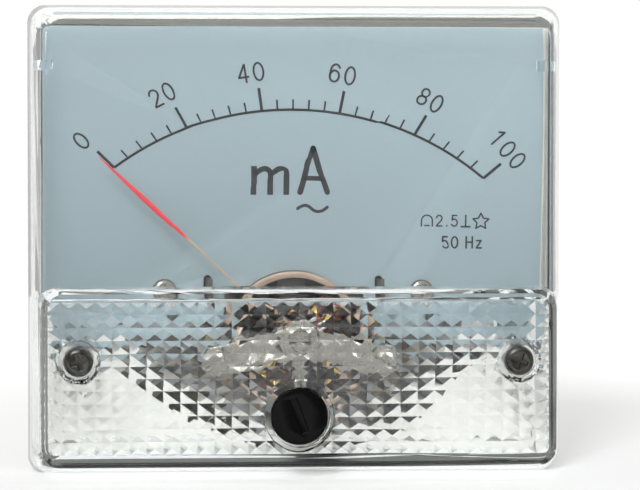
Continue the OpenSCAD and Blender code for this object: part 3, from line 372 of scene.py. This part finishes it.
# CAD node kept as it is, its edges slightly rounded by modifiers and its finish assigned
def finishNode(node, width=0.06, angle=30):
    obj = frame["nodes"][node]
    obj.data.materials.clear()
    obj.data.materials.append(finishes[slotOf[node]])
    obj.data.polygons.foreach_set("use_smooth", [True] * len(obj.data.polygons))
    weld = obj.modifiers.new("weld", "WELD")
    weld.merge_threshold = 2e-7
    flat = obj.modifiers.new("flat", "DECIMATE")
    flat.decimate_type = "DISSOLVE"
    flat.angle_limit = math.radians(0.8)
    if width:
        edge = obj.modifiers.new("edges", "BEVEL")
        edge.width = width * mm
        edge.segments = 2
        edge.limit_method = "ANGLE"
        edge.angle_limit = math.radians(angle)
        edge.harden_normals = True
    return obj


def shadeByAngle(obj, angle=32):
    mesh = obj.data
    mesh.polygons.foreach_set("use_smooth", [True] * len(mesh.polygons))
    mesh.set_sharp_from_angle(angle=math.radians(angle))
    return obj


# Edge widths in millimetres, where a node's differ from the usual
edgeWidths = {
    "base_housing": 0.25, "front_cover": 0.12, "dial_plate": 0.03, "scale_marks": 0.0, "zero_adjuster": 0.08,
    "front_hairspring": 0.0, "rear_hairspring": 0.0, "pointer": 0.02, "jewels": 0.02, "coil_winding": 0.1,
    "lead_wires": 0.0, "front_pivot": 0.0, "rear_pivot": 0.0, "balance_weights": 0.02,
}
for name in sorted(frame["nodes"]):
    finishNode(name, edgeWidths.get(name, 0.06))
print("CAD nodes finished:", len(frame["nodes"]))


# Dial print: every mark is a flat ribbon carried along a stroke

dialPrint = {
    "thickness": 0.035, "numberHeight": 2.05, "numberLine": 0.24, "digitWidth": 0.55, "digitGap": 0.34,
    "numbers": (("0", -46.9, 34.5), ("20", -28.2, 32.9), ("40", -9.0, 32.1), ("60", 10.4, 32.1), ("80", 29.6, 32.8),
                ("100", 48.4, 34.2)),
    "unitLine": 0.68, "barLine": 0.6, "waveLine": 0.37, "markLine": 0.17,
    "classPlace": (18.45, 2.13), "classHeight": 1.27, "frequencyPlace": (20.3, -0.45), "frequencyHeight": 1.32,
}


# Elliptical arc: x = cx + rx cos a, z = cz + rz sin a
def bend(cx, cz, rx, rz, a0, a1, steps=18):
    a = np.radians(np.linspace(a0, a1, steps))
    return np.stack([cx + rx * np.cos(a), cz + rz * np.sin(a)], -1)


# Cubic curve through its two end points: (1-t)^3 p0 + 3(1-t)^2 t p1 + 3(1-t) t^2 p2 + t^3 p3
def curve(p0, p1, p2, p3, steps=14):
    t = np.linspace(0, 1, steps)[:, None]
    p0, p1, p2, p3 = (np.array(p, float) for p in (p0, p1, p2, p3))
    return (1 - t) ** 3 * p0 + 3 * (1 - t) ** 2 * t * p1 + 3 * (1 - t) * t ** 2 * p2 + t ** 3 * p3


# Strokes of each sign, one unit high and digitWidth wide
signs = {
    "0": [bend(0.275, 0.5, 0.275, 0.5, 0, 360, 41)],
    "1": [np.array([(0.1, 0.78), (0.33, 1.0)]), np.array([(0.33, 1.0), (0.33, 0.0)])],
    "2": [np.vstack([bend(0.27, 0.73, 0.26, 0.27, 170, -25), curve((0.5, 0.6), (0.42, 0.42), (0.12, 0.2), (0.02, 0.0))]),
          np.array([(0.02, 0.0), (0.54, 0.0)])],
    "4": [np.array([(0.38, 1.0), (0.0, 0.29)]), np.array([(0.0, 0.29), (0.55, 0.29)]), np.array([(0.4, 1.0), (0.4, 0.0)])],
    "5": [np.array([(0.48, 1.0), (0.1, 1.0)]), np.array([(0.1, 1.0), (0.06, 0.56)]),
          np.vstack([curve((0.06, 0.56), (0.2, 0.68), (0.3, 0.66), (0.34, 0.64), 6), bend(0.26, 0.32, 0.28, 0.33, 70, -150)])],
    "6": [np.vstack([bend(0.29, 0.6, 0.27, 0.4, 35, 180, 14), bend(0.275, 0.32, 0.265, 0.32, 180, 530, 36)])],
    "8": [bend(0.275, 0.76, 0.22, 0.24, -90, 270, 32), bend(0.275, 0.27, 0.27, 0.27, 90, 450, 36)],
    "H": [np.array([(0.0, 0.0), (0.0, 1.0)]), np.array([(0.55, 0.0), (0.55, 1.0)]), np.array([(0.0, 0.52), (0.55, 0.52)])],
    "z": [np.array([(0.05, 0.66), (0.45, 0.66)]), np.array([(0.45, 0.66), (0.05, 0.0)]), np.array([(0.05, 0.0), (0.47, 0.0)])],
    ".": [np.array([(0.1, 0.0), (0.1, 0.04)])],
    " ": [],
}
signWidths = {".": 0.2, " ": 0.1}


# Strokes of a row of signs centred on x, z and turned clockwise
def lettering(words, height, x, z, turn=0.0):
    widths = [signWidths.get(sign, dialPrint["digitWidth"]) for sign in words]
    starts = np.cumsum([0.0] + [w + dialPrint["digitGap"] for w in widths])
    middle = (starts[-1] - dialPrint["digitGap"]) / 2
    a = math.radians(turn)
    spin = np.array([[math.cos(a), -math.sin(a)], [math.sin(a), math.cos(a)]])
    return [((stroke + (start - middle, -0.5)) * height) @ spin + (x, z)
            for sign, start in zip(words, starts) for stroke in signs[sign]]


# Ribbon of one stroke: left and right edges half a line off the path, and past each end the half width
# follows sqrt(r^2 - s^2), which rounds the end
def ribbon(path, line, front, back, roundEnds=True):
    path = np.asarray(path, float)
    half = np.full(len(path), line / 2)
    if roundEnds:
        a = np.radians([25, 50, 70, 85])
        first = path[0] - path[1]
        last = path[-1] - path[-2]
        first, last = first / np.linalg.norm(first), last / np.linalg.norm(last)
        past = line / 2 * np.sin(a)[:, None]
        path = np.vstack([(path[0] + first * past)[::-1], path, path[-1] + last * past])
        half = np.concatenate([(line / 2 * np.cos(a))[::-1], half, line / 2 * np.cos(a)])
    step = np.gradient(path, axis=0)
    step /= np.linalg.norm(step, axis=1)[:, None]
    side = np.stack([-step[:, 1], step[:, 0]], -1) * half[:, None]
    left, right = path + side, path - side
    rows = [np.insert(edge, 1, y, axis=1) for edge, y in ((left, front), (right, front), (right, back), (left, back))]
    points = np.stack(rows, 1).reshape(-1, 3)
    faces = gridFaces(len(path), 4)
    faces += [[3, 2, 1, 0], [len(points) - 4 + k for k in range(4)]]
    return points, faces


def printMarks(name, strokes):
    front, back = dialLow.y - dialPrint["thickness"] * mm, dialLow.y + 0.005 * mm
    points, faces = [], []
    for path, line, roundEnds in strokes:
        fresh, quads = ribbon(np.asarray(path) * mm, line * mm, front, back, roundEnds)
        base = sum(len(p) for p in points)
        faces += [[base + k for k in quad] for quad in quads]
        points.append(fresh)
    obj = outward(meshObject(name, np.vstack(points), faces, False))
    obj.data.materials.append(finishes["dial_print"])
    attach(obj, "housing")
    return obj


def makeNumbers():
    strokes = []
    for words, angle, distance in dialPrint["numbers"]:
        a = math.radians(angle)
        x, z = distance * math.sin(a), pivotZ / mm + distance * math.cos(a)
        strokes += [(path, dialPrint["numberLine"], True) for path in lettering(words, dialPrint["numberHeight"], x, z, angle)]
    return printMarks("scale_numbers", strokes)


# Unit, with the wave that stands for alternating current under it
def makeUnit():
    wide, bar = dialPrint["unitLine"], dialPrint["barLine"]
    strokes = [([(x, 8.72 if x < -4 else 7.6), (x, 5.11)], wide, False) for x in (-4.87, -2.88, -0.96)]
    for x in (-4.87, -2.88):
        over = x + 1.96
        strokes.append((np.vstack([curve((x + 0.1, 7.75), (x + 0.6, 8.25), (x + 1.0, 8.43), (x + 1.3, 8.4), 10),
                                   curve((x + 1.3, 8.4), (x + 1.75, 8.37), (over, 8.05), (over, 7.5), 10)[1:]]), 0.62, False))
    strokes += [([(0.69, 5.45), (2.31, 10.86)], wide, True), ([(3.95, 5.45), (2.31, 10.86)], wide, True),
                ([(1.15, 7.08), (3.45, 7.08)], bar, False)]
    wave = np.vstack([curve((0.42, 3.5), (1.15, 4.05), (1.6, 3.95), (2.05, 3.52)),
                      curve((2.05, 3.52), (2.5, 3.1), (3.1, 2.9), (3.95, 3.68))[1:]])
    return printMarks("unit_sign", strokes + [(wave, dialPrint["waveLine"], True)])


# Generic marks: instrument type, accuracy class, upright use, a plain star and the frequency
def makeMarks():
    line = dialPrint["markLine"]
    arch = np.vstack([[(15.42, 1.42)], bend(16.07, 2.13, 0.65, 0.65, 180, 0), [(16.72, 1.42)]])
    a = np.radians(90 + 36 * np.arange(11))
    radius = np.where(np.arange(11) % 2 == 0, 1.0, 0.5)
    star = np.stack([22.53 + radius * np.cos(a), 2.05 + radius * np.sin(a)], -1)
    strokes = [(arch, line, False), ([(15.75, 1.55), (16.4, 1.55)], line, False),
               ([(20.71, 1.43), (20.71, 2.86)], line, False), ([(20.12, 1.42), (21.31, 1.42)], line * 1.2, False)]
    strokes += [([star[k], star[k + 1]], line, True) for k in range(10)]
    strokes += [(path, line, True) for path in lettering("2.5", dialPrint["classHeight"], *dialPrint["classPlace"])]
    strokes += [(path, line * 1.15, True) for path in lettering("50 Hz", dialPrint["frequencyHeight"], *dialPrint["frequencyPlace"])]
    return printMarks("dial_marks", strokes)


for piece in (makeNumbers(), makeUnit(), makeMarks()):
    print("printed:", piece.name, len(piece.data.polygons), "faces")


# Camera, floor and lights

camera = {
    "distance": 399.6, "azimuth": -3.8, "elevation": 1.4, "lens": 187.0, "shiftX": 0.0395, "shiftY": -0.0094,
}


def placeCamera():
    a, e = math.radians(camera["azimuth"]), math.radians(camera["elevation"])
    back = Vector((math.sin(a) * math.cos(e), -math.cos(a) * math.cos(e), math.sin(e)))
    target = Vector((0, housingLow.y + 1.2 * mm, 0))
    data = bpy.data.cameras.new("camera")
    data.lens = camera["lens"]
    data.sensor_width = 36
    data.shift_x = camera["shiftX"]
    data.shift_y = camera["shiftY"]
    data.clip_start = 0.01
    obj = bpy.data.objects.new("camera", data)
    scene.collection.objects.link(obj)
    obj.location = target + back * camera["distance"] * mm
    obj.rotation_euler = (-back).to_track_quat("-Z", "Y").to_euler()
    scene.camera = obj


placeCamera()


# White to the camera and in reflections, and still darkened by the object's shadow
def makeFloor():
    material = bpy.data.materials.new("paleFloor")
    material.use_nodes = True
    tree = material.node_tree
    shader = tree.nodes["Principled BSDF"]
    shader.inputs["Base Color"].default_value = (0.9, 0.9, 0.9, 1)
    shader.inputs["Roughness"].default_value = 0.9
    shader.inputs["Emission Color"].default_value = (1, 1, 1, 1)
    path = newNode(tree, "ShaderNodeLightPath", (-600, 0))
    seen = newNode(tree, "ShaderNodeMath", (-400, 0), operation="MAXIMUM")
    seenToo = newNode(tree, "ShaderNodeMath", (-250, 0), operation="MAXIMUM")
    glow = newNode(tree, "ShaderNodeMath", (-100, 0), operation="MULTIPLY")
    place = newNode(tree, "ShaderNodeTexCoord", (-900, -300))
    reach = newNode(tree, "ShaderNodeVectorMath", (-700, -300), operation="LENGTH")
    paler = newNode(tree, "ShaderNodeMapRange", (-500, -300), interpolation_type="SMOOTHSTEP")
    for label, value in (("From Min", 0.05), ("From Max", 0.16), ("To Min", 0.36), ("To Max", 0.62)):
        paler.inputs[label].default_value = value
    tree.links.new(place.outputs["Object"], reach.inputs[0])
    tree.links.new(reach.outputs["Value"], paler.inputs["Value"])
    tree.links.new(paler.outputs["Result"], glow.inputs[1])
    tree.links.new(path.outputs["Is Camera Ray"], seen.inputs[0])
    tree.links.new(path.outputs["Is Glossy Ray"], seen.inputs[1])
    tree.links.new(seen.outputs[0], seenToo.inputs[0])
    tree.links.new(path.outputs["Is Transmission Ray"], seenToo.inputs[1])
    tree.links.new(seenToo.outputs[0], glow.inputs[0])
    tree.links.new(glow.outputs[0], shader.inputs["Emission Strength"])
    return material


# Plane through the lower edge of the flange and the lower rear edge of the body, where the meter rests
def makeGround():
    front = np.array([housingLow.y, housingLow.z])
    bodyRear = 29 * mm
    bodyLow = -26 * mm
    slope = (bodyLow - front[1]) / (bodyRear - front[0])
    reach = 3.0
    drop = 0.02 * mm
    points = [(x, front[0] + y, front[1] + slope * y - drop) for x, y in ((-reach, -reach), (reach, -reach), (reach, reach), (-reach, reach))]
    ground = meshObject("ground", points, [[0, 1, 2, 3]], False)
    ground.data.materials.append(makeFloor())
    return ground


makeGround()


# White behind the meter; mirrored rays see it dimmer on the camera's side, and surfaces get the ambient share
def makeWorld():
    world = bpy.data.worlds.new("studio")
    scene.world = world
    world.use_nodes = True
    tree = world.node_tree
    link = tree.links.new
    sky = tree.nodes["Background"]
    path = newNode(tree, "ShaderNodeLightPath", (-1100, 200))
    way = newNode(tree, "ShaderNodeTexCoord", (-1100, -200))
    parts = newNode(tree, "ShaderNodeSeparateXYZ", (-900, -200))
    mirrored = newNode(tree, "ShaderNodeMapRange", (-700, -200), interpolation_type="SMOOTHSTEP")
    for label, value in (("From Min", -0.6), ("From Max", 0.1), ("To Min", studio["mirrorFront"]), ("To Max", 1.0)):
        mirrored.inputs[label].default_value = value
    seen = newNode(tree, "ShaderNodeMath", (-700, 200), operation="MAXIMUM")
    level = newNode(tree, "ShaderNodeMix", (-400, 0), data_type="FLOAT")
    level.inputs["A"].default_value = studio["ambient"]
    clear = newNode(tree, "ShaderNodeMix", (-200, 0), data_type="FLOAT")
    clear.inputs["B"].default_value = 1.0
    link(way.outputs["Generated"], parts.inputs["Vector"])
    link(parts.outputs["Y"], mirrored.inputs["Value"])
    link(path.outputs["Is Glossy Ray"], level.inputs["Factor"])
    link(mirrored.outputs["Result"], level.inputs["B"])
    link(path.outputs["Is Camera Ray"], seen.inputs[0])
    link(path.outputs["Is Transmission Ray"], seen.inputs[1])
    link(seen.outputs[0], clear.inputs["Factor"])
    link(level.outputs["Result"], clear.inputs["A"])
    link(clear.outputs["Result"], sky.inputs["Strength"])
    sky.inputs["Color"].default_value = (1, 1, 1, 1)


def areaLamp(name, place, target, size, power):
    data = bpy.data.lights.new(name, "AREA")
    data.energy = power
    data.size = size
    obj = bpy.data.objects.new(name, data)
    scene.collection.objects.link(obj)
    obj.location = place
    obj.rotation_euler = (Vector(target) - Vector(place)).to_track_quat("-Z", "Y").to_euler()
    return obj


studio = {
    "ambient": 0.42, "mirrorFront": 0.2, "keyPlace": (-0.30, -0.85, 0.63), "keySize": 0.3, "keyPower": 4.4,
}
makeWorld()
areaLamp("keyLamp", studio["keyPlace"], (0, 0, 0), studio["keySize"], studio["keyPower"])
scene.cycles.max_bounces = 32
scene.cycles.glossy_bounces = 16
scene.cycles.transmission_bounces = 24
scene.cycles.transparent_max_bounces = 32
scene.view_settings.view_transform = "Standard"
print("camera, ground and lamps placed")
